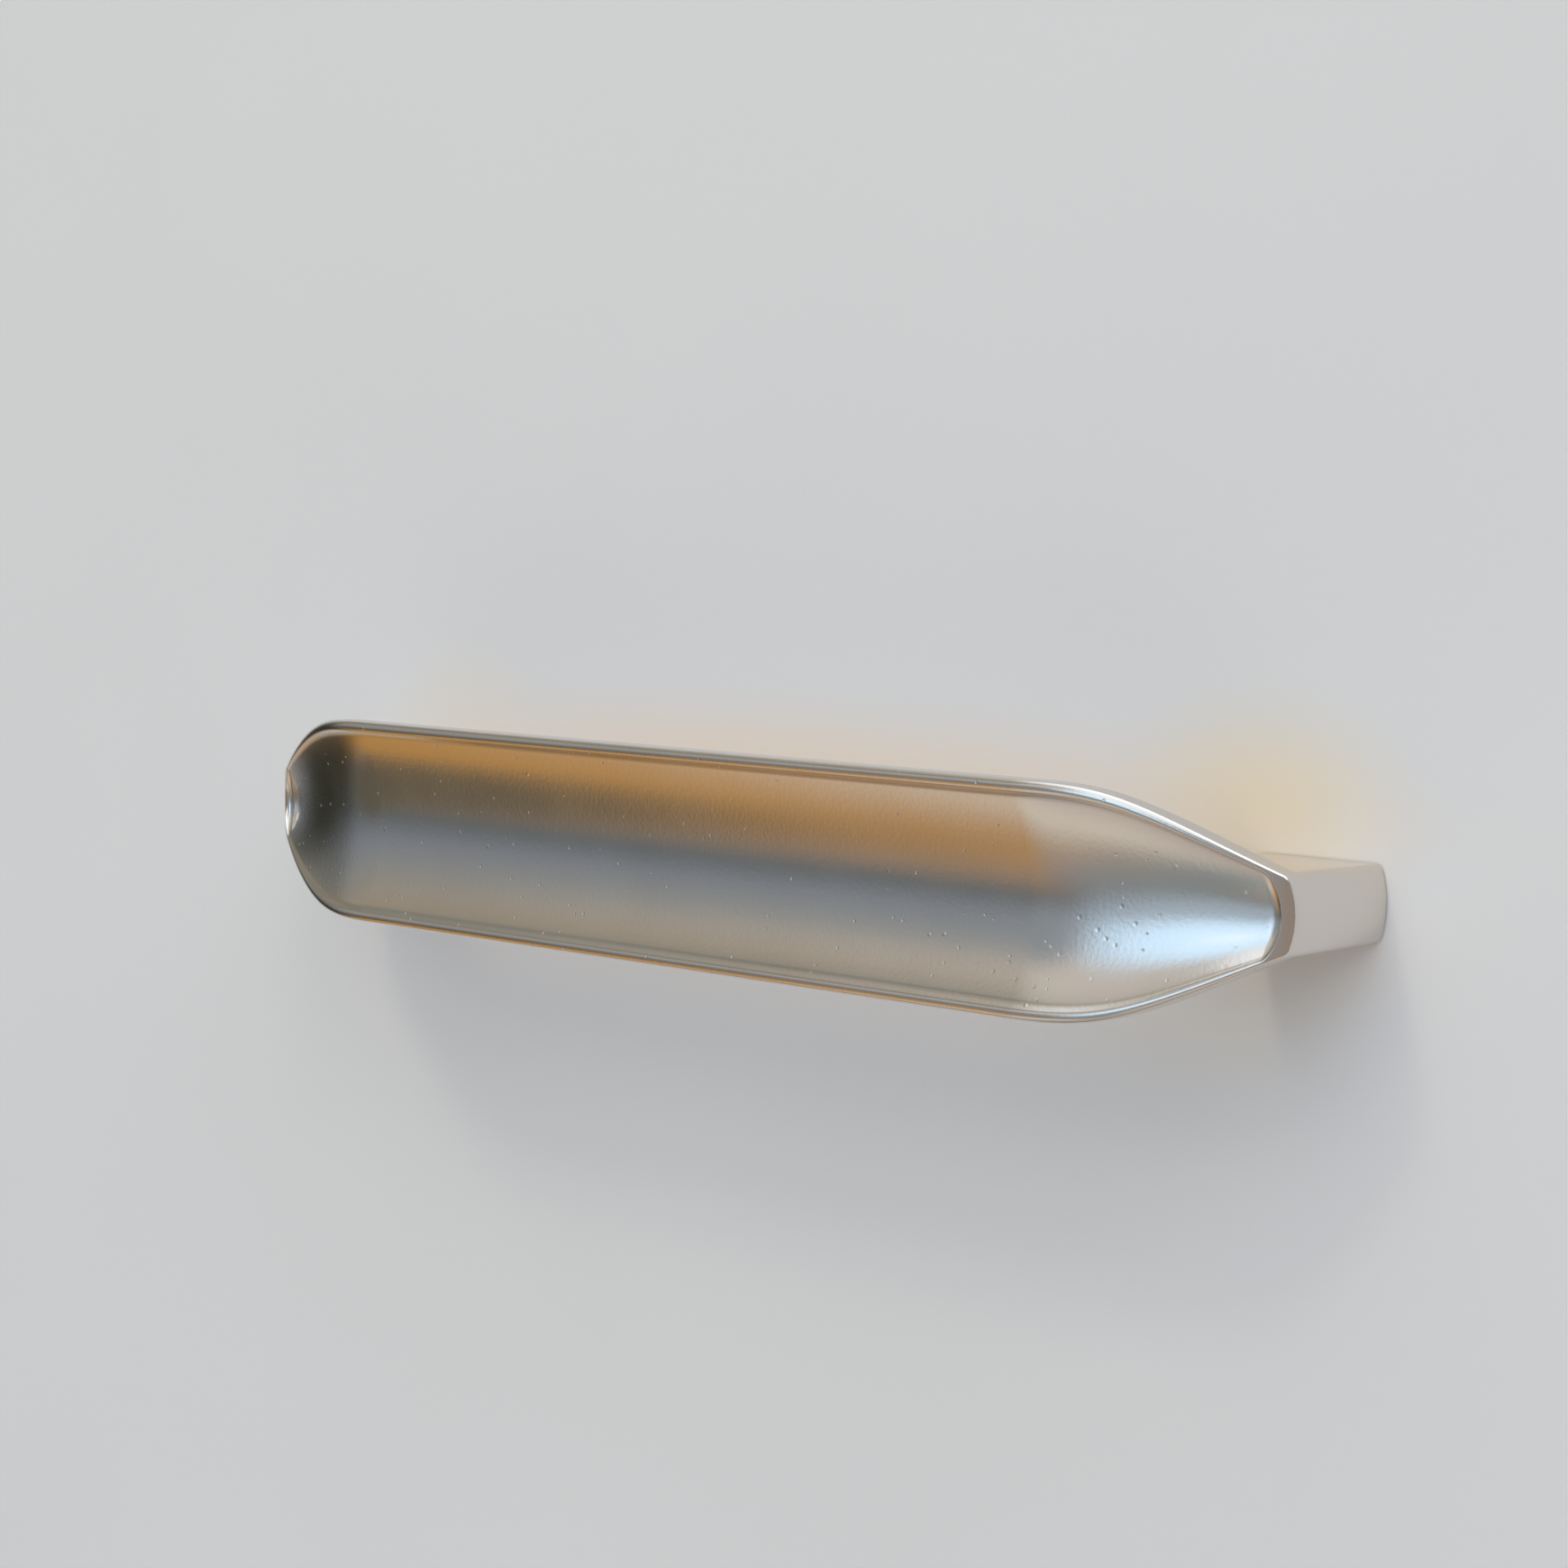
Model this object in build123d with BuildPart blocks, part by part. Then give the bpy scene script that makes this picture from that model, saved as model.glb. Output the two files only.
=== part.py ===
from build123d import *
import os
from math import cos, radians, sin, tan

os.makedirs("parts", exist_ok=True)

# A dished bow pull for a drawer, cast in one piece, in millimetres.
# X runs along the handle, Z is up, and the door is the plane Y = 0 with the handle in front of it, at -Y.
# The origin lies on the door, midway between the two screws.

# Fixing: a machine screw comes through the door into a blind threaded bore in each foot
hole_spacing = 160.0
screw_bore_radius = 1.65
screw_bore_depth = 11.0
screw_bore_lead_in = 0.4

# Foot: a post with round edges, drafted towards the door, that sweeps into the back of the bar
foot_width = 17.8
foot_draft = 0.2
foot_side_draft = 0.25
foot_edge_radius = 1.0
foot_root_radius = 7.0
foot_shoulder = 0.05

# Bar seen from the front: parallel edges, then a boat-shaped taper down to a neck at each end
bar_height = 27.0
neck_height = 9.5
taper_length = 31.4
edge_lead = 12.0
edge_pull = 18.0
edge_end_angle = 27.0

# Bar seen from above: a straight front that falls back to the necks, which roll over into the feet
projection = 27.5
setback = 10.3
face_lead = 9.3
face_pull = 10.0
face_end_angle = 31.0
roll_radius = 2.2

# Outer side of each end: bowed, as the foot is, and just inside the point where the rolls would meet it
end_bow_radius = 12.0
end_bow_angle = 80.0
end_bow_trim = 0.05

# Section of the bar: a raised round rim round a shallow dish, and a bowed back
rim_radius = 0.85
rim_inner_angle = 45.0
rim_width = 2.0
neck_rim_share = 0.45
rim_side = 2.6
lip_edge_angle = 10.0
dish_edge_angle = 28.0
back_edge_angle = 31.0
back_edge_radius = 0.5

# End of the dish: it closes like the bowl of a spoon, inside the rim that runs round the neck
end_rim_width = 1.3
dish_end_length = 2.0

# Stations of the lofts
straight_lap = 4.0
taper_steps = 10
roll_steps = 6
dish_end_steps = 5

end_half = (hole_spacing + foot_width) / 2
roll_end = end_half + end_bow_trim
straight_half = end_half - taper_length
middle_half = straight_half - straight_lap
foot_inner = end_half - foot_width
dish_end = end_half - end_rim_width


def falling_wire(top, lead, neck, pull, angle):
    """A level start at the straight part, a fall to the neck at an angle, and the roll at the end."""
    lean = radians(angle)
    neck_point = (roll_end - roll_radius * (1 - sin(lean)), neck)
    with BuildLine() as line:
        fall = Bezier(
            (straight_half, top),
            (straight_half + lead, top),
            (neck_point[0] - pull * cos(lean), neck_point[1] + pull * sin(lean)),
            neck_point,
        )
        JernArc(fall @ 1, fall % 1, roll_radius, angle - 90)
    return line.wire()


# The upper edge from the front, and the face from above, as distances from the centre line and the door
edge_corner = neck_height / 2 - roll_radius * (1 - cos(radians(edge_end_angle)))
edge_wire = falling_wire(bar_height / 2, edge_lead, edge_corner, edge_pull, edge_end_angle)
face_wire = falling_wire(projection, face_lead, projection - setback, face_pull, face_end_angle)


def distance_at(wire, x):
    """Where a falling wire stands at x, found by halving, because x only grows along it."""
    reach = min(max(x, straight_half), roll_end)
    low, high = 0.0, 1.0
    for _ in range(40):
        middle = (low + high) / 2
        if (wire @ middle).X < reach:
            low = middle
        else:
            high = middle
    return (wire @ high).Y


def bar_levels(x):
    """Half height of the bar at x, where its face and back lie in Y, and its rim's scale."""
    half = distance_at(edge_wire, x)
    face = -distance_at(face_wire, x)
    back = face + rim_side + half * tan(radians(back_edge_angle / 2))
    fullness = (2 * half - neck_height) / (bar_height - neck_height)
    return half, face, back, neck_rim_share + (1 - neck_rim_share) * fullness


def bar_section(x):
    """Section across the bar at x without its dish: a flat face with round edges, and a bowed back."""
    half, face, back, scale = bar_levels(x)
    radius = rim_radius * scale
    side = face + rim_side
    with BuildSketch(Plane.YZ.offset(x)) as section:
        with BuildLine():
            CenterArc((face + radius, half - radius), radius, 90, 90)
            Line((face, half - radius), (face, radius - half))
            CenterArc((face + radius, radius - half), radius, 180, 90)
            Line((face + radius, -half), (side, -half))
            ThreePointArc((side, -half), (back, 0), (side, half))
            Line((side, half), (face + radius, half))
        make_face()
        fillet(section.vertices().group_by(Axis.X)[-1], back_edge_radius)
    return section.sketch


def dish_levels(x, share=1.0):
    """Heights of the dish's lip, slope and edge at x, and the depths of the last two and of its bottom."""
    half, _, _, scale = bar_levels(x)
    lean = radians(rim_inner_angle)
    lip = (half - rim_radius * scale) * share
    slope = lip - rim_radius * scale * share * sin(lean)
    edge = lip - (rim_width - rim_radius) * scale * share
    slope_depth = rim_radius * scale * share * (1 - cos(lean))
    edge_depth = slope_depth + (slope - edge) * tan(lean)
    bottom_depth = edge_depth + edge * tan(radians(dish_edge_angle / 2))
    return lip, slope, edge, slope_depth, edge_depth, bottom_depth


def dish_section(x, share=1.0):
    """Section at x of the space in the dish, from ahead of the face down, or a share of that size."""
    _, face, _, scale = bar_levels(x)
    lip, slope, edge, slope_depth, edge_depth, bottom_depth = dish_levels(x, share)
    radius = rim_radius * scale * share
    start = face - radius * (1 - cos(radians(lip_edge_angle)))
    with BuildSketch(Plane.YZ.offset(x)) as section:
        with BuildLine():
            Polyline((start, -lip), (start - rim_width, -lip), (start - rim_width, lip), (start, lip))
            CenterArc((start + radius, lip), radius, 180, rim_inner_angle)
            Line((start + slope_depth, slope), (start + edge_depth, edge))
            ThreePointArc(
                (start + edge_depth, edge), (start + bottom_depth, 0), (start + edge_depth, -edge)
            )
            Line((start + edge_depth, -edge), (start + slope_depth, -slope))
            CenterArc((start + radius, -lip), radius, 180 - rim_inner_angle, rim_inner_angle)
        make_face()
    return section.sketch


def wall_point(x, share):
    """A point in the wall behind the dish at x, a share of the way from the back to the dish."""
    _, face, back, _ = bar_levels(x)
    return (x, back + share * (face + dish_levels(x)[5] - back))


def spread(start, end, steps):
    """Evenly spaced values from start to end, both of them included."""
    return [start + (end - start) * step / steps for step in range(steps + 1)]


def bowed_outline(outer):
    """What lies inside a bowed end, seen from the front, out to the furthest point of its bow."""
    with BuildSketch(Plane.XZ) as outline:
        with BuildLine():
            bow = CenterArc((outer - end_bow_radius, 0), end_bow_radius, -end_bow_angle / 2, end_bow_angle)
            Polyline(
                bow @ 1,
                ((bow @ 1).X, bar_height),
                (0, bar_height),
                (0, -bar_height),
                ((bow @ 0).X, -bar_height),
                bow @ 0,
            )
        make_face()
    return outline.sketch


# Bar: a straight middle, and at each end a taper and a short roll, lofted through its sections
taper_end = (edge_wire.edges()[0] @ 1).X
roll_centre = roll_end - roll_radius
lap_stations = spread(middle_half, straight_half, 2)[:-1]

with BuildPart() as bar:
    loft([bar_section(x) for x in lap_stations + spread(straight_half, taper_end, taper_steps)])
    loft(
        [
            bar_section(roll_centre + roll_radius * sin(radians(angle)))
            for angle in spread(edge_end_angle, 90, roll_steps)
        ]
    )
    extrude(bowed_outline(end_half), amount=2 * projection, mode=Mode.INTERSECT)
    mirror(about=Plane.YZ)
    extrude(bar_section(0), amount=middle_half, both=True)

# Dish: the space inside the rim, which closes at each end by shrinking towards a point of the face
dish_taper_end = dish_end - dish_end_length

with BuildPart() as dish:
    loft([dish_section(x) for x in lap_stations + spread(straight_half, dish_taper_end, taper_steps)])
    loft(
        [
            dish_section(dish_end - dish_end_length * (1 - cos(radians(angle))), sin(radians(angle)))
            for angle in spread(90, 12, dish_end_steps)
        ]
    )
    mirror(about=Plane.YZ)
    extrude(dish_section(0), amount=middle_half, both=True)

# Foot: an L seen from above, whose arm lies along the bar and ends inside its wall
arm_tip = foot_inner - 2 * foot_root_radius
foot_outer = end_half - foot_shoulder

with BuildPart() as foot:
    with BuildSketch(Plane.XY):
        with BuildLine():
            inner_side = FilletPolyline(
                (foot_inner + foot_draft, 0),
                wall_point(foot_inner, 1 / 3),
                wall_point(arm_tip, 1 / 3),
                radius=foot_root_radius,
            )
            Polyline(
                inner_side @ 1,
                (arm_tip, -2 * projection),
                (foot_outer, -2 * projection),
                (foot_outer, 0),
                inner_side @ 0,
            )
        make_face()
    extrude(amount=neck_height, both=True)
    with BuildSketch(Plane.YZ):
        front_half = neck_height / 2 - foot_shoulder
        door_half = front_half - foot_side_draft
        Polygon(
            (0, -door_half),
            (0, door_half),
            (setback - projection, front_half),
            (-2 * projection, front_half),
            (-2 * projection, -front_half),
            (setback - projection, -front_half),
            align=None,
        )
    extrude(amount=2 * end_half, mode=Mode.INTERSECT)
    extrude(bowed_outline(foot_outer), amount=2 * projection, mode=Mode.INTERSECT)
    long_edges = foot.edges().filter_by(
        lambda edge: abs(edge.center().Z) > door_half / 2 and -2 * projection < edge.center().Y < 0
    )
    fillet(long_edges.filter_by(lambda edge: edge.center().X > arm_tip), foot_edge_radius)
    with BuildSketch(Plane.XY.offset(-neck_height)):
        trim_line = [wall_point(x, 2 / 3) for x in spread(arm_tip, end_half, 4)]
        Polygon((arm_tip, 0), *trim_line, (end_half, 0), align=None)
    extrude(amount=2 * neck_height, mode=Mode.INTERSECT)

# The whole casting, with its two screw bores
with BuildPart() as pull_handle:
    add(bar.part)
    add(dish.part, mode=Mode.SUBTRACT)
    add(foot.part)
    mirror(foot.part, about=Plane.YZ)
    with Locations(Plane.XZ.rotated((180, 0, 0))):
        with GridLocations(hole_spacing, 0, 2, 1):
            CounterSinkHole(
                screw_bore_radius, screw_bore_radius + screw_bore_lead_in, screw_bore_depth, 90
            )

pull_handle.part.label = "pull_handle"
export_step(pull_handle.part, "parts/pull_handle.step")
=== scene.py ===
import math

import bmesh
import bpy
import numpy as np
from mathutils import Matrix, Vector


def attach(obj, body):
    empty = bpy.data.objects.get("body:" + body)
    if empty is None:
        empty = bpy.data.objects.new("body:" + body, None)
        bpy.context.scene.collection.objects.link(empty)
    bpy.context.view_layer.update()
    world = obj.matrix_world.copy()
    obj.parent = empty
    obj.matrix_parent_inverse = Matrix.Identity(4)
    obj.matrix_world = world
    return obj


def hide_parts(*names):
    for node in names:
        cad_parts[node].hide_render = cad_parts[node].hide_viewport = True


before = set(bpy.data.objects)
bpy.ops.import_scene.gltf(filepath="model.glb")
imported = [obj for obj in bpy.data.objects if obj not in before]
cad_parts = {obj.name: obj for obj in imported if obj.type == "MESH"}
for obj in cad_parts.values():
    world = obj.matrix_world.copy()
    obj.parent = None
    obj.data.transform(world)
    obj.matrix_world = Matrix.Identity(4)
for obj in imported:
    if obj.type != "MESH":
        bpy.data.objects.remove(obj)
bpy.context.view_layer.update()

PHOTO_SIZE = 1740
QUARTER = math.pi / 2


# Nodes

def node_tree(owner):
    owner.use_nodes = True
    owner.node_tree.nodes.clear()
    return owner.node_tree


def add(tree, kind, inputs=None, **settings):
    """A node of that kind, with its settings, and its inputs set to values or linked to other sockets."""
    node = tree.nodes.new(kind)
    for key, value in settings.items():
        setattr(node, key, value)
    for key, value in (inputs or {}).items():
        if isinstance(value, bpy.types.NodeSocket):
            tree.links.new(value, node.inputs[key])
        else:
            node.inputs[key].default_value = value
    return node


def maths(tree, operation, *values):
    node = add(tree, "ShaderNodeMath", dict(enumerate(values)), operation=operation)
    return node.outputs[0]


def mix_colors(tree, share, *colors):
    """A colour that lies that share of the way from the first of two colours to the second."""
    first, second = (c if isinstance(c, bpy.types.NodeSocket) else (*c, 1) for c in colors)
    # This node has sockets for numbers and vectors too, so the ones for colours go by their places
    node = add(tree, "ShaderNodeMix", {0: share, 6: first, 7: second}, data_type="RGBA")
    return node.outputs[2]


def distance_in_reaches(tree, position, middle, reach):
    """How far a position is from the middle, where 1 is the reach along each axis."""
    offset = add(tree, "ShaderNodeVectorMath", {
        0: position,
        1: [1 / r for r in reach],
        2: [-m / r for m, r in zip(middle, reach)],
    }, operation="MULTIPLY_ADD")
    return add(tree, "ShaderNodeVectorMath", {0: offset.outputs[0]}, operation="LENGTH").outputs["Value"]


def soft_spot(tree, distance, edge, solid, amount=1):
    """Nothing from the edge outwards, rising softly to the amount where the distance falls to solid."""
    node = add(tree, "ShaderNodeMapRange", {
        "Value": distance, "From Min": edge, "From Max": solid, "To Max": amount,
    }, interpolation_type="SMOOTHSTEP")
    return node.outputs[0]


def noise(tree, position, scale, detail):
    node = add(tree, "ShaderNodeTexNoise", {"Vector": position, "Scale": scale, "Detail": detail})
    return node.outputs[0]


def noise_between(tree, position, scale, detail, low, high):
    """Noise whose usual range, 0.3 to 0.7, is spread from low to high."""
    node = add(tree, "ShaderNodeMapRange", {
        "Value": noise(tree, position, scale, detail),
        "From Min": 0.3, "From Max": 0.7, "To Min": low, "To Max": high,
    })
    return node.outputs[0]


def bump(tree, height, depth, normal=None, **settings):
    """A surface normal tilted by a height of 0 to 1, which stands for that depth in metres."""
    inputs = {"Height": height, "Strength": 1, "Distance": depth}
    if normal is not None:
        inputs["Normal"] = normal
    return add(tree, "ShaderNodeBump", inputs, **settings).outputs[0]


# Camera

def camera(name, place, yaw, pitch, roll, focal_pixels):
    """A camera at place, turned by yaw to the left of straight ahead, tipped down by pitch, and rolled."""
    forward = Vector((-math.sin(yaw) * math.cos(pitch), math.cos(yaw) * math.cos(pitch), -math.sin(pitch)))
    level = Vector((math.cos(yaw), math.sin(yaw), 0))
    upright = level.cross(forward)
    right = math.cos(roll) * level + math.sin(roll) * upright
    up = math.cos(roll) * upright - math.sin(roll) * level
    data = bpy.data.cameras.new(name)
    data.sensor_width = 36
    data.lens = focal_pixels / PHOTO_SIZE * data.sensor_width
    data.clip_start = 0.005
    data.clip_end = 20
    item = bpy.data.objects.new(name, data)
    item.matrix_world = Matrix(
        [(right[i], up[i], -forward[i], place[i]) for i in range(3)] + [(0, 0, 0, 1)]
    )
    bpy.context.scene.collection.objects.link(item)
    bpy.context.scene.camera = item


bpy.context.scene.view_settings.view_transform = "Standard"
camera(
    "camera", place=(0.316994, -0.322091, 0.047891),
    yaw=0.785388, pitch=0.089496, roll=0.00555, focal_pixels=3947.6,
)


# Room and lamps. In degrees, an azimuth is 0 to the left of the handle, 90 straight in front of the door
# and 180 to its right, and a height is 0 at the horizon.

ROOM_STRENGTH = 1.015
# One colour for each height, and between them a blend
ROOM_HEIGHTS = (
    (-90, (0.40, 0.37, 0.33)),
    (-52, (0.54, 0.49, 0.46)),
    (-40, (0.73, 0.69, 0.61)),
    (-28, (0.46, 0.37, 0.29)),
    (-18, (0.28, 0.29, 0.31)),
    (-8, (0.14, 0.17, 0.19)),
    (2, (0.25, 0.28, 0.33)),
    (12, (0.30, 0.32, 0.32)),
    (24, (0.38, 0.34, 0.27)),
    (36, (0.24, 0.25, 0.23)),
    (48, (0.49, 0.45, 0.38)),
    (60, (1.06, 1.15, 1.25)),
    (90, (1.90, 1.92, 2.00)),
)
# Soft oval patches over it, painted in this order: azimuth and height of the middle, half width and half
# height, slope, share that is solid, colour. The wooden floor runs away from the door, so it slopes.
ROOM_PATCHES = {
    "door_frame": (7, -17, 14, 61, 0, 0.25, (0.03, 0.03, 0.02)),
    "wooden_floor": (23, -31.524, 57, 18, 0.412, 0.06, (0.54, 0.29, 0.08)),
    "near_floor": (0, -74, 60, 24, 0, 0.50, (0.30, 0.28, 0.25)),
    "beside_door": (-28, -10, 30, 60, 0, 0.50, (0.16, 0.16, 0.15)),
    "front_floor": (84, -29, 21, 46, 0, 0.01, (0.26, 0.31, 0.33)),
    "wall_beside_window": (63, 25, 32, 28, 0, 0.16, (0.67, 0.64, 0.60)),
    "light_below_window": (92, 2, 27, 24, 0, 0.52, (0.44, 0.55, 0.67)),
    "window": (88, 14, 22, 21, 0, 0.42, (0.89, 1.25, 1.63)),
    "pale_blind": (99, 47, 31, 24, 0, 0.78, (1.10, 1.18, 1.26)),
    "right_of_window": (147, -14, 43, 22, 0, 0.81, (0.33, 0.28, 0.24)),
    "wall_before_window": (59, 8, 19, 18, 0, 0.25, (0.29, 0.34, 0.39)),
    "dark_floor": (28, -17, 17, 15, 0, 0.52, (0.13, 0.12, 0.09)),
    "window_core": (90, 14, 8, 7, 0, 0.17, (1.16, 1.42, 1.60)),
    "right_wall": (155, 42, 32, 36, 0, 0.30, (2.70, 2.72, 2.90)),
}


def room():
    world = bpy.data.worlds.new("room")
    bpy.context.scene.world = world
    tree = node_tree(world)
    direction = add(tree, "ShaderNodeTexCoord").outputs["Generated"]
    x, y, z = add(tree, "ShaderNodeSeparateXYZ", {0: direction}).outputs
    leftward, forward = maths(tree, "MULTIPLY", x, -1), maths(tree, "MULTIPLY", y, -1)
    azimuth = maths(tree, "DEGREES", maths(tree, "ARCTAN2", forward, leftward))
    height = maths(tree, "DEGREES", maths(tree, "ARCSINE", z))

    ramp = add(tree, "ShaderNodeValToRGB", {0: maths(tree, "DIVIDE", maths(tree, "ADD", height, 90), 180)})
    stops = ramp.color_ramp.elements
    stops[0].position, stops[0].color = 0, (*ROOM_HEIGHTS[0][1], 1)
    stops[1].position, stops[1].color = 1, (*ROOM_HEIGHTS[-1][1], 1)
    for level, color in ROOM_HEIGHTS[1:-1]:
        stops.new((level + 90) / 180).color = (*color, 1)
    color = ramp.outputs[0]

    for middle_x, middle_y, half_width, half_height, slope, solid, patch_color in ROOM_PATCHES.values():
        along = maths(tree, "SUBTRACT", azimuth, middle_x)
        level = maths(tree, "SUBTRACT", height, maths(tree, "MULTIPLY", along, slope))
        place = add(tree, "ShaderNodeCombineXYZ", {0: azimuth, 1: level}).outputs[0]
        distance = distance_in_reaches(tree, place, (middle_x, middle_y, 0), (half_width, half_height, 1))
        color = mix_colors(tree, soft_spot(tree, distance, 1, solid), color, patch_color)
    background = add(tree, "ShaderNodeBackground", {"Color": color, "Strength": ROOM_STRENGTH})
    add(tree, "ShaderNodeOutputWorld", {"Surface": background.outputs[0]})


def area_light(name, azimuth, height, distance, size, color, power):
    """A lamp that faces the middle of the handle. The metal mirrors the room's patches and not the lamp."""
    data = bpy.data.lights.new(name, "AREA")
    data.shape = "DISK"
    data.size = size
    data.color = color
    data.energy = power
    item = bpy.data.objects.new(name, data)
    a, h = math.radians(azimuth), math.radians(height)
    toward = Vector((-math.cos(a) * math.cos(h), -math.sin(a) * math.cos(h), math.sin(h)))
    item.location = toward * distance
    item.rotation_euler = toward.to_track_quat("Z", "Y").to_euler()
    item.visible_glossy = False
    bpy.context.scene.collection.objects.link(item)


room()
area_light("key_light", azimuth=77, height=53, distance=1.5, size=0.27, color=(1.0, 0.87, 0.60), power=2.35)
area_light("low_light", azimuth=77, height=31, distance=1.5, size=0.27, color=(1.0, 0.9, 0.7), power=0.45)


# The handle's sizes in millimetres, as in the part's source

HOLE_SPACING = 160.0
BORE_RADIUS, BORE_DEPTH, BORE_LEAD_IN = 1.65, 11.0, 0.4
FOOT_WIDTH, FOOT_DRAFT, FOOT_SIDE_DRAFT = 17.8, 0.2, 0.25
FOOT_EDGE_RADIUS, FOOT_ROOT_RADIUS, FOOT_SHOULDER = 1.0, 7.0, 0.05
BAR_HEIGHT, NECK_HEIGHT, TAPER_LENGTH = 27.0, 9.5, 31.4
EDGE_LEAD, EDGE_PULL, EDGE_END_ANGLE = 12.0, 18.0, math.radians(27)
PROJECTION, SETBACK = 27.5, 10.3
FACE_LEAD, FACE_PULL, FACE_END_ANGLE = 9.3, 10.0, math.radians(31)
ROLL_RADIUS, END_BOW_RADIUS, END_BOW_TRIM = 2.2, 12.0, 0.05
RIM_RADIUS, RIM_INNER_ANGLE, RIM_WIDTH, RIM_SIDE = 0.85, math.radians(45), 2.0, 2.6
NECK_RIM_SHARE = 0.45
DISH_EDGE_ANGLE, BACK_EDGE_ANGLE, BACK_EDGE_RADIUS = math.radians(28), math.radians(31), 0.5
END_RIM_WIDTH, DISH_END_LENGTH = 1.3, 2.0

# Softening of edges that the CAD leaves sharp, and the least room between points of the mesh
CREASE_REACH = 0.35
END_BLEND = 0.3
LEAST_DISH_SHARE = 0.02
POINT_GAP = 0.001
SHARP_ANGLE = math.radians(40)
MERGE_DISTANCE = 1e-6

END_HALF = (HOLE_SPACING + FOOT_WIDTH) / 2
ROLL_END = END_HALF + END_BOW_TRIM
STRAIGHT_HALF = END_HALF - TAPER_LENGTH
FOOT_INNER = END_HALF - FOOT_WIDTH
DISH_END = END_HALF - END_RIM_WIDTH
DISH_TAPER_END = DISH_END - DISH_END_LENGTH


def falling_curve(top, lead, neck, pull, angle):
    """Points of a level start at the straight part, a fall to the neck at an angle, and the end's roll."""
    neck_x = ROLL_END - ROLL_RADIUS * (1 - math.sin(angle))
    control = np.array([
        (STRAIGHT_HALF, top),
        (STRAIGHT_HALF + lead, top),
        (neck_x - pull * math.cos(angle), neck + pull * math.sin(angle)),
        (neck_x, neck),
    ])
    t = np.linspace(0, 1, 600)[:, None]
    weights = ((1 - t)**3, 3 * (1 - t)**2 * t, 3 * (1 - t) * t**2, t**3)
    fall = sum(weight * point for weight, point in zip(weights, control))
    turn = np.linspace(angle, QUARTER, 200)[1:]
    roll = np.array([ROLL_END - ROLL_RADIUS, neck - ROLL_RADIUS * math.cos(angle)])
    roll = roll + ROLL_RADIUS * np.stack([np.sin(turn), np.cos(turn)], axis=1)
    return np.concatenate([fall, roll]).T


EDGE_CORNER = NECK_HEIGHT / 2 - ROLL_RADIUS * (1 - math.cos(EDGE_END_ANGLE))
EDGE_CURVE = falling_curve(BAR_HEIGHT / 2, EDGE_LEAD, EDGE_CORNER, EDGE_PULL, EDGE_END_ANGLE)
FACE_CURVE = falling_curve(PROJECTION, FACE_LEAD, PROJECTION - SETBACK, FACE_PULL, FACE_END_ANGLE)


# The bar

def bar_levels(x):
    """Half height of the bar at x, where its face and back lie in Y, and its rim's scale."""
    half = np.interp(x, *EDGE_CURVE)
    face = -np.interp(x, *FACE_CURVE)
    back = face + RIM_SIDE + half * math.tan(BACK_EDGE_ANGLE / 2)
    fullness = (2 * half - NECK_HEIGHT) / (BAR_HEIGHT - NECK_HEIGHT)
    return half, face, back, NECK_RIM_SHARE + (1 - NECK_RIM_SHARE) * fullness


def dish_levels(x):
    """Heights of the dish's lip and edge at x, and the depths of the edge and of the bottom."""
    half, _, _, scale = bar_levels(x)
    radius = RIM_RADIUS * scale
    lip = half - radius
    slope = lip - radius * math.sin(RIM_INNER_ANGLE)
    edge = lip - (RIM_WIDTH - RIM_RADIUS) * scale
    edge_depth = radius * (1 - math.cos(RIM_INNER_ANGLE)) + (slope - edge) * math.tan(RIM_INNER_ANGLE)
    return lip, edge, edge_depth, edge_depth + edge * math.tan(DISH_EDGE_ANGLE / 2)


def bowed(edge, deep, edge_z, stop_z, count):
    """An arc from the middle, which lies deep, towards an edge, as (depth, z), as far as stop_z."""
    sag = deep - edge
    radius = (edge_z**2 + sag**2) / (2 * sag)
    return [(deep - radius + math.sqrt(radius**2 - z**2), z) for z in np.linspace(0, stop_z, count)]


def bend(start, corner, end, count):
    """A smooth turn from start to end, past a corner that it rounds off."""
    start, corner, end = (np.array(p) for p in (start, corner, end))
    return [
        tuple((1 - t)**2 * start + 2 * (1 - t) * t * corner + t**2 * end)
        for t in np.linspace(0, 1, count)
    ]


def rim_arc(centre_y, centre_z, radius, start, stop, count):
    """Part of the round rim, as (y, z): angle 0 is its inner side, and a quarter is straight ahead."""
    return [
        (centre_y - radius * math.sin(a), centre_z - radius * math.cos(a))
        for a in np.linspace(start, stop, count)
    ]


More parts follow.
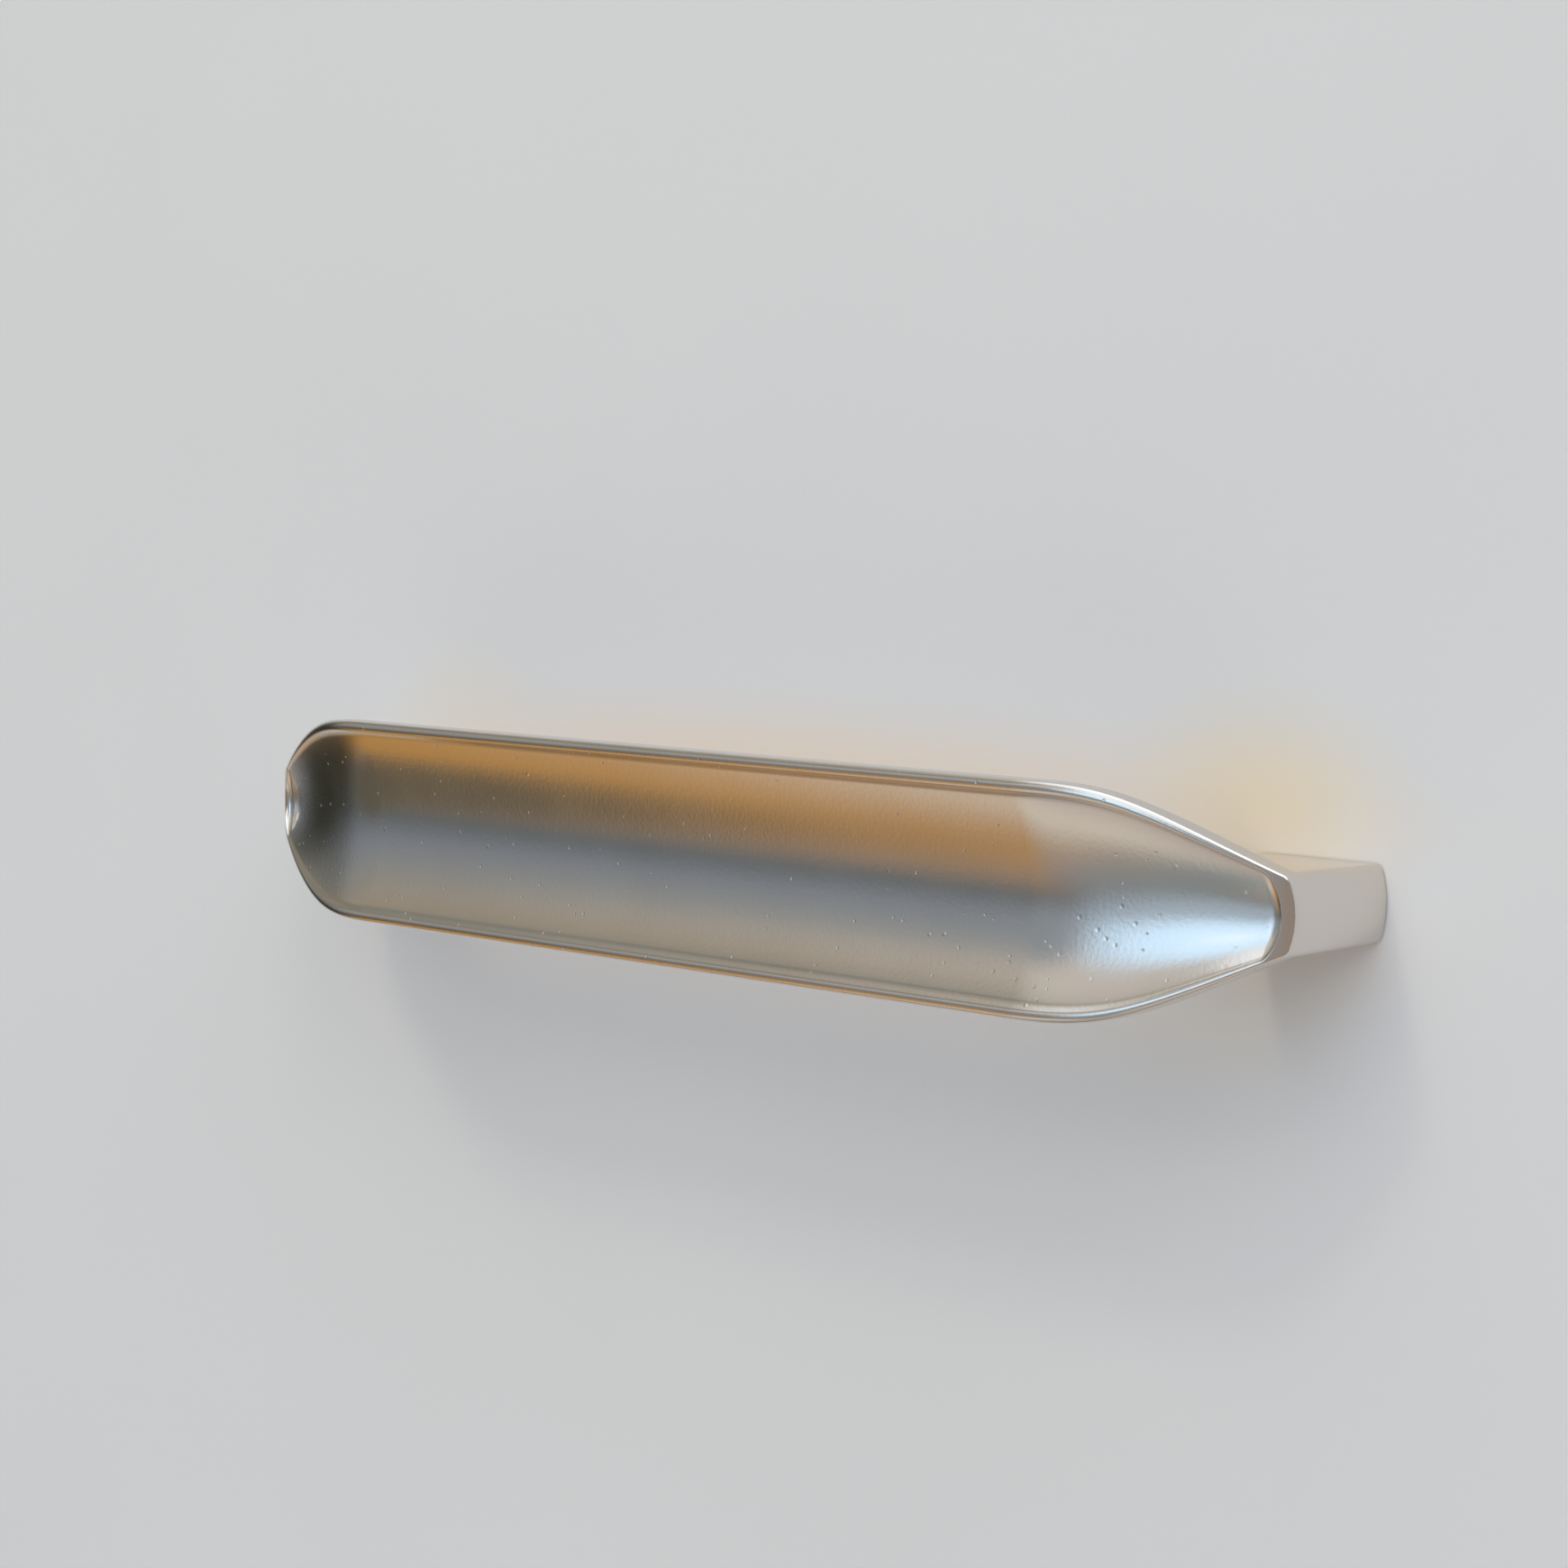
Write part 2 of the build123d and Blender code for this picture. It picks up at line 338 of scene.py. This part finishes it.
def bar_profile(x):
    """Upper half of the bar's section at x, as (y, z): dish, rim, side and bowed back."""
    half, face, back, scale = bar_levels(x)
    lip, edge, edge_depth, deep = dish_levels(x)
    radius = RIM_RADIUS * scale
    reach = CREASE_REACH * scale
    run = min(max((x - DISH_TAPER_END) / DISH_END_LENGTH, 0), 1)
    share = max(math.sqrt(1 - run**2), LEAST_DISH_SHARE)
    flatten = share if run < 1 else 0

    # The dish shrinks towards its end, and beyond the end the face is flat
    inside = bowed(edge_depth, deep, edge, edge - reach, count=30)
    crease_end = (edge_depth - reach * math.tan(RIM_INNER_ANGLE), edge + reach)
    inside += bend(inside[-1], (edge_depth, edge), crease_end, count=9)[1:]
    crest = rim_arc(radius, lip, radius, QUARTER - RIM_INNER_ANGLE, QUARTER, count=14)
    points = [(face + depth * flatten, z * share) for depth, z in inside + crest]
    points += [(face, lip * (share + (1 - share) * step / 4) + step * POINT_GAP) for step in range(1, 5)]
    points += rim_arc(face + radius, lip, radius, QUARTER, 2 * QUARTER, count=16)[1:]

    side = face + RIM_SIDE
    turn = BACK_EDGE_RADIUS * math.tan(QUARTER / 2 - BACK_EDGE_ANGLE / 2)
    backside = bowed(side, back, half, half - turn * math.cos(BACK_EDGE_ANGLE), count=24)[::-1]
    points += [(y, half) for y in np.linspace(face + radius, side - turn, 6)[1:-1]]
    return points + bend((side - turn, half), (side, half), backside[0], count=7) + backside[1:]


def trimmed(x, y, z):
    """The point, brought inside the bowed end of the bar with a soft edge."""
    if x < DISH_TAPER_END:
        return x, y, z
    bow = END_HALF - END_BOW_RADIUS + math.sqrt(END_BOW_RADIUS**2 - z**2)
    overlap = max(END_BLEND - abs(x - bow), 0)
    return min(x, bow) - overlap**2 / (4 * END_BLEND), y, z


def closed_loop(upper):
    """A closed loop of (x, y, z), from its upper half, whose first and last points lie at Z = 0."""
    return upper + [(x, y, -z) for x, y, z in upper[-2:0:-1]]


def bar_loops():
    """The right half of the bar, from its middle to the centre of its bowed end."""
    taper = STRAIGHT_HALF + (DISH_TAPER_END - STRAIGHT_HALF) * np.linspace(0, 1, 90)
    spoon = DISH_TAPER_END + DISH_END_LENGTH * np.sin(np.linspace(0, QUARTER, 26))[1:]
    roll_start = math.asin((DISH_END - ROLL_END) / ROLL_RADIUS + 1)
    roll = ROLL_END + ROLL_RADIUS * (np.sin(np.linspace(roll_start, QUARTER, 28)[1:]) - 1)
    stations = [*np.linspace(0, STRAIGHT_HALF, 13)[:-1], *taper, *spoon, *roll]
    sections = [closed_loop([(x, y, z) for y, z in bar_profile(x)]) for x in stations]

    # The last section closes in rings towards its centre
    outermost = sections[-1]
    middle_y = (outermost[0][1] + max(y for _, y, _ in outermost)) / 2
    for share in np.linspace(1, 0, 9)[1:-1]:
        sections.append([(x, middle_y + (y - middle_y) * share, z * share) for x, y, z in outermost])
    return [[trimmed(*point) for point in loop] for loop in sections], trimmed(ROLL_END, middle_y, 0)


# The feet

def wall_at(x, share):
    """Where the wall behind the dish stands at x, a share of the way from the back to the dish."""
    _, face, back, _ = bar_levels(x)
    _, _, _, deep = dish_levels(x)
    return back + share * (face + deep - back)


def inner_side():
    """The foot's finger side from above, from the door to inside the bar: points and outward directions."""
    start = Vector((FOOT_INNER + FOOT_DRAFT, 0))
    corner = Vector((FOOT_INNER, wall_at(FOOT_INNER, 1 / 3)))
    arm_tip = FOOT_INNER - 2 * FOOT_ROOT_RADIUS
    before = (start - corner).normalized()
    after = (Vector((arm_tip, wall_at(arm_tip, 1 / 3))) - corner).normalized()
    half_angle = before.angle(after) / 2
    first = corner + before * FOOT_ROOT_RADIUS / math.tan(half_angle)
    centre = corner + (before + after).normalized() * FOOT_ROOT_RADIUS / math.sin(half_angle)
    outward = (centre - first).normalized()
    side = [(start.lerp(first, t), outward) for t in np.linspace(0, 1, 12)[:-1]]
    for turn in np.linspace(0, math.pi - 2 * half_angle, 40):
        direction = outward.copy()
        direction.rotate(Matrix.Rotation(-turn, 2))
        side.append((centre - direction * FOOT_ROOT_RADIUS, direction))
    return side


def foot_half(y):
    """Half height of the foot at y, which narrows towards the door."""
    draft = FOOT_SIDE_DRAFT * (1 - min(y / (SETBACK - PROJECTION), 1))
    return NECK_HEIGHT / 2 - FOOT_SHOULDER - draft


def foot_loop(point, outward, level):
    """Section through the foot. Its outer side lies at a level, 0 at the door and 1 inside the bar."""
    radius = FOOT_EDGE_RADIUS
    straight = foot_half(point.y) - radius
    upper = [(point.x, point.y, z) for z in np.linspace(0, straight, 6)]
    for a in np.linspace(0, QUARTER, 9)[1:]:
        inset = point - outward * radius * (1 - math.cos(a))
        upper.append((inset.x, inset.y, straight + radius * math.sin(a)))
    start_x, start_level = upper[-1][0], upper[-1][1] / wall_at(upper[-1][0], 2 / 3)

    # The outer corner is rounded between the bowed end and the upper side
    middle = END_HALF - FOOT_SHOULDER - END_BOW_RADIUS
    corner_z = foot_half(level * wall_at(END_HALF, 2 / 3)) - radius
    corner_x = middle + math.sqrt((END_BOW_RADIUS - radius)**2 - corner_z**2)
    lean = math.atan2(corner_z, corner_x - middle)
    outline = [
        (start_x + (corner_x - start_x) * t, start_level + (level - start_level) * t, None)
        for t in np.linspace(0, 1, 16)[1:]
    ]
    outline += [
        (corner_x + radius * math.cos(a), level, corner_z + radius * math.sin(a))
        for a in np.linspace(QUARTER, lean, 9)[1:]
    ]
    outline += [
        (middle + END_BOW_RADIUS * math.cos(a), level, END_BOW_RADIUS * math.sin(a))
        for a in np.linspace(lean, 0, 9)[1:]
    ]
    for x, share, z in outline:
        y = share * wall_at(x, 2 / 3)
        upper.append((x, y, foot_half(y) if z is None else z))
    return closed_loop(upper)


def bore_loop(outline, radius, depth):
    """A circle of the screw bore, with one point for each of the outline's."""
    angles = [math.atan2(z, x - HOLE_SPACING / 2) for x, _, z in outline]
    return [(HOLE_SPACING / 2 + radius * math.cos(a), -depth, radius * math.sin(a)) for a in angles]


def foot_loops():
    """The right foot, from the bottom of its screw bore to the end that lies inside the wall of the bar."""
    side = inner_side()
    lengths = np.cumsum([0] + [(b[0] - a[0]).length for a, b in zip(side, side[1:])])
    loops = [foot_loop(*place, length / lengths[-1]) for place, length in zip(side, lengths)]
    bore = [(BORE_RADIUS, BORE_DEPTH), (BORE_RADIUS, BORE_LEAD_IN), (BORE_RADIUS + BORE_LEAD_IN, 0)]
    loops = [bore_loop(loops[0], radius, depth) for radius, depth in bore] + loops
    tip = (FOOT_INNER, wall_at(FOOT_INNER, 1 / 2), 0)
    return (HOLE_SPACING / 2, -BORE_DEPTH, 0), loops, tip


def smooth_handle(material):
    """The handle's form without facets: half of it from loops of points, and a mirror for the other."""
    vertices, faces = [], []

    def skin(loops, first=None, last=None):
        """Faces between the loops, and round a point that closes the first or the last loop."""
        size = len(loops[0])
        base = len(vertices)
        for loop in loops:
            vertices.extend(loop)
        for row in range(len(loops) - 1):
            for i in range(size):
                a, b = base + row * size + i, base + row * size + (i + 1) % size
                faces.append((a, b, b + size, a + size))
        for centre, row, order in ((first, 0, -1), (last, len(loops) - 1, 1)):
            if centre is not None:
                vertices.append(centre)
                for i in range(size):
                    edge = (base + row * size + i, base + row * size + (i + 1) % size)[::order]
                    faces.append((edge[0], edge[1], len(vertices) - 1))

    loops, end = bar_loops()
    skin(loops, last=end)
    start, loops, end = foot_loops()
    skin(loops, start, end)

    mesh = bpy.data.meshes.new("smooth_handle")
    mesh.from_pydata([tuple(v / 1000 for v in point) for point in vertices], [], faces)
    mesh.validate()
    shape = bmesh.new()
    shape.from_mesh(mesh)
    bmesh.ops.recalc_face_normals(shape, faces=shape.faces)
    shape.to_mesh(mesh)
    shape.free()
    mesh.shade_smooth()
    mesh.set_sharp_from_angle(angle=SHARP_ANGLE)
    mesh.materials.append(material)
    item = bpy.data.objects.new("smooth_handle", mesh)
    bpy.context.scene.collection.objects.link(item)
    mirror = item.modifiers.new("left_half", "MIRROR")
    mirror.merge_threshold = MERGE_DISTANCE
    return item


# Materials. Scales are in cells per metre, depths and radii in metres.

DARK_NICKEL, LIGHT_NICKEL = (0.73, 0.68, 0.63), (0.77, 0.72, 0.67)
GLOSSIEST, DULLEST = 0.145, 0.185
RIPPLE_SCALE, RIPPLE_DEPTH = 260, 0.000006
GRAIN_SCALE, GRAIN_DEPTH = 1900, 0.000011
# Scale, radius, and the share of the cells that have one
PITS = (650, 0.00020, 0.30)
LINT = (420, 0.00028, 0.10)
SPOT_DEPTH = 0.00003
PIT_DULLNESS = 0.25
# Small dents in the dish beside the right neck, with their places in millimetres
DENTS = (
    (69.4, -22.0, -0.1), (64.4, -23.2, -1.7), (67.8, -22.7, -3.8), (69.0, -22.6, -4.4),
    (67.0, -24.1, -8.3), (71.1, -21.7, -1.9), (76.0, -20.9, 4.7), (57.2, -25.6, -9.1),
    (60.0, -25.7, -9.6), (61.2, -24.1, -5.1), (62.4, -24.2, -5.9), (55.7, -25.0, -7.4),
    (82.5, -18.7, -3.5), (66.7, -22.8, -2.9), (60.9, -26.3, -11.0), (53.7, -25.4, -8.6),
)
DENT_RADIUS, DENT_DEPTH = 0.00036, 0.00002


def satin_nickel():
    """Nickel plate over a blasted casting: fine grain, changes of tone and gloss, pits, lint and dents."""
    material = bpy.data.materials.new("satin_nickel")
    tree = node_tree(material)
    position = add(tree, "ShaderNodeTexCoord").outputs["Object"]
    patches = noise_between(tree, position, scale=45, detail=3, low=0, high=1)
    tone = mix_colors(tree, patches, DARK_NICKEL, LIGHT_NICKEL)

    def spots(scale, radius, share):
        """Round spots in the middles of some cells of a pattern."""
        cells = add(tree, "ShaderNodeTexVoronoi", {"Vector": position, "Scale": scale, "Randomness": 1})
        inside = add(tree, "ShaderNodeMapRange", {
            "Value": cells.outputs["Distance"],
            "From Min": radius * scale,
            "From Max": 0.6 * radius * scale,
        })
        lot = add(tree, "ShaderNodeSeparateColor", {0: cells.outputs["Color"]}).outputs[0]
        return maths(tree, "MULTIPLY", inside.outputs[0], maths(tree, "LESS_THAN", lot, share))

    nearest = 1
    for dent in DENTS:
        place = [c / 1000 for c in dent]
        away = add(tree, "ShaderNodeVectorMath", {0: position, 1: place}, operation="DISTANCE")
        nearest = maths(tree, "MINIMUM", nearest, away.outputs["Value"])
    dents = soft_spot(tree, nearest, DENT_RADIUS, 0)
    pits = spots(*PITS)
    lint = spots(*LINT)

    surface = bump(tree, noise(tree, position, RIPPLE_SCALE, detail=2), RIPPLE_DEPTH)
    surface = bump(tree, noise(tree, position, GRAIN_SCALE, detail=3), GRAIN_DEPTH, surface)
    surface = bump(tree, maths(tree, "SUBTRACT", lint, pits), SPOT_DEPTH, surface)
    surface = bump(tree, dents, DENT_DEPTH, surface, invert=True)

    gloss = noise_between(tree, position, scale=120, detail=4, low=GLOSSIEST, high=DULLEST)
    shader = add(tree, "ShaderNodeBsdfPrincipled", {
        "Base Color": tone,
        "Metallic": 1.0,
        "Roughness": maths(tree, "ADD", gloss, maths(tree, "MULTIPLY", pits, PIT_DULLNESS)),
        "Normal": surface,
    })
    add(tree, "ShaderNodeOutputMaterial", {"Surface": shader.outputs[0]})
    return material


DARK_PAINT, LIGHT_PAINT = (0.905, 0.90, 0.90), (0.925, 0.92, 0.92)
PAINT_GRAIN_SCALE, PAINT_GRAIN_DEPTH = 700, 0.000008
# Warm light that the metal throws back at the door, above its middle and beside its feet, as a tint of the
# paint: place, reach along each axis, colour and amount
PAINTED_DOOR_GLOWS = (
    ((0, 0, 0.009), (0.12, 1, 0.012), (1.0, 0.87, 0.75), 0.95),
    ((0.072, 0, 0.010), (0.026, 1, 0.016), (1.0, 0.86, 0.65), 0.95),
    ((-0.068, 0, 0.012), (0.020, 1, 0.014), (1.0, 0.92, 0.80), 0.6),
)


def door_paint():
    """Pale satin paint, with warm light painted into its colour near the handle, that shows from the front
    only, so that the handle can be seen from behind.
    """
    material = bpy.data.materials.new("door_paint")
    tree = node_tree(material)
    position = add(tree, "ShaderNodeTexCoord").outputs["Object"]
    patches = noise_between(tree, position, scale=6, detail=2, low=0, high=1)
    tone = mix_colors(tree, patches, DARK_PAINT, LIGHT_PAINT)
    # Painted light: warm tints that stand in for light the metal throws back onto the door
    for place, reach, color, amount in PAINTED_DOOR_GLOWS:
        distance = distance_in_reaches(tree, position, place, reach)
        tone = mix_colors(tree, soft_spot(tree, distance, 1, 0, amount), tone, color)
    paint = add(tree, "ShaderNodeBsdfPrincipled", {
        "Base Color": tone,
        "Roughness": noise_between(tree, position, scale=30, detail=2, low=0.5, high=0.6),
        "Normal": bump(tree, noise(tree, position, PAINT_GRAIN_SCALE, detail=2), PAINT_GRAIN_DEPTH),
    })
    clear = add(tree, "ShaderNodeBsdfTransparent")
    side = add(tree, "ShaderNodeNewGeometry")
    surface = add(tree, "ShaderNodeMixShader", {
        0: side.outputs["Backfacing"], 1: paint.outputs[0], 2: clear.outputs[0],
    })
    add(tree, "ShaderNodeOutputMaterial", {"Surface": surface.outputs[0]})
    return material


# The door's panel stands just behind the handle's feet, so that no two surfaces share a plane
DOOR_LEFT, DOOR_RIGHT, DOOR_HALF_HEIGHT, DOOR_GAP = -0.215, 0.3, 0.15, 0.0002


def door():
    mesh = bpy.data.meshes.new("door")
    corners = [
        (DOOR_LEFT, -DOOR_HALF_HEIGHT), (DOOR_RIGHT, -DOOR_HALF_HEIGHT),
        (DOOR_RIGHT, DOOR_HALF_HEIGHT), (DOOR_LEFT, DOOR_HALF_HEIGHT),
    ]
    mesh.from_pydata([(x, DOOR_GAP, z) for x, z in corners], [], [(0, 1, 2, 3)])
    mesh.materials.append(door_paint())
    item = bpy.data.objects.new("door", mesh)
    bpy.context.scene.collection.objects.link(item)


door()
handle = smooth_handle(satin_nickel())
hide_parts("pull_handle")
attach(handle, "root")
